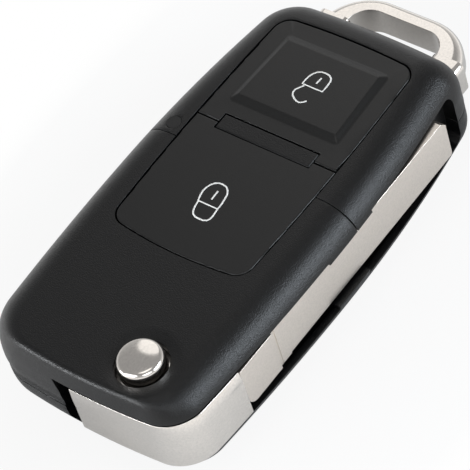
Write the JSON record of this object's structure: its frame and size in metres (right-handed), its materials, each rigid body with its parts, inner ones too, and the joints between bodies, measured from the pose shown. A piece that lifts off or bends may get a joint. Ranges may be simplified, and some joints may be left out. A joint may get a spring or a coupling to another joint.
{
  "type": "key fob shell",
  "caption": "Flip key fob shell: split plastic case with remote buttons, folding key blade thrown by a sprung push button, and a chrome key ring loop.",
  "frame": {"origin": "middle of the bounding box on the plane of the flat back", "axes": "+X towards the key ring loop, +Y away from the folded blade, +Z out of the button face"},
  "size_m": [0.073, 0.0348, 0.0165],
  "materials": {
    "case_plastic": "fine spark-eroded texture, satin black",
    "button_plastic": "smooth satin black",
    "chrome_plate": "satin chrome on zinc casting",
    "nickel_steel": "dull nickel, uncut blank",
    "spring_steel": "bright drawn steel",
    "silicone": "matt grey silicone",
    "clear_plastic": "smoked clear, polished"
  },
  "bodies": {
    "case": {"head_upper_case": "case_plastic", "head_lower_case": "case_plastic", "remote_upper_case": "case_plastic", "remote_lower_case": "case_plastic", "transponder_cover": "case_plastic", "centre_strip": "case_plastic", "key_ring_loop": "chrome_plate", "flip_spring": "spring_steel", "head_screw": "spring_steel", "battery_clamp": "spring_steel", "button_mat": "silicone", "indicator_window": "clear_plastic"},
    "blade": {"blade_carrier": "chrome_plate", "key_blade": "nickel_steel", "blade_pin": "spring_steel"},
    "release": {"release_button": "chrome_plate"},
    "unlock": {"unlock_button": "button_plastic"},
    "lock": {"lock_button": "button_plastic"}
  },
  "joints": [
    {"name": "blade_flip", "type": "hinge", "parent": "case", "child": "blade", "pos_m": [-0.03035, -0.0071, 0], "axis": [0, 0, -1], "range_deg": [0, 180]},
    {"name": "release_press", "type": "slide", "parent": "blade", "child": "release", "axis": [0, 0, -1], "range_m": [0, 0.002], "stiffness_N_per_m": 500, "springref_m": -0.004, "deforming": ["flip_spring"]},
    {"name": "unlock_press", "type": "slide", "parent": "case", "child": "unlock", "axis": [0, 0, -1], "range_m": [0, 0.0006], "stiffness_N_per_m": 1500, "springref_m": -0.001, "deforming": ["button_mat"]},
    {"name": "lock_press", "type": "slide", "parent": "case", "child": "lock", "axis": [0, 0, -1], "range_m": [0, 0.0006], "stiffness_N_per_m": 1500, "springref_m": -0.001, "deforming": ["button_mat"]}
  ]
}
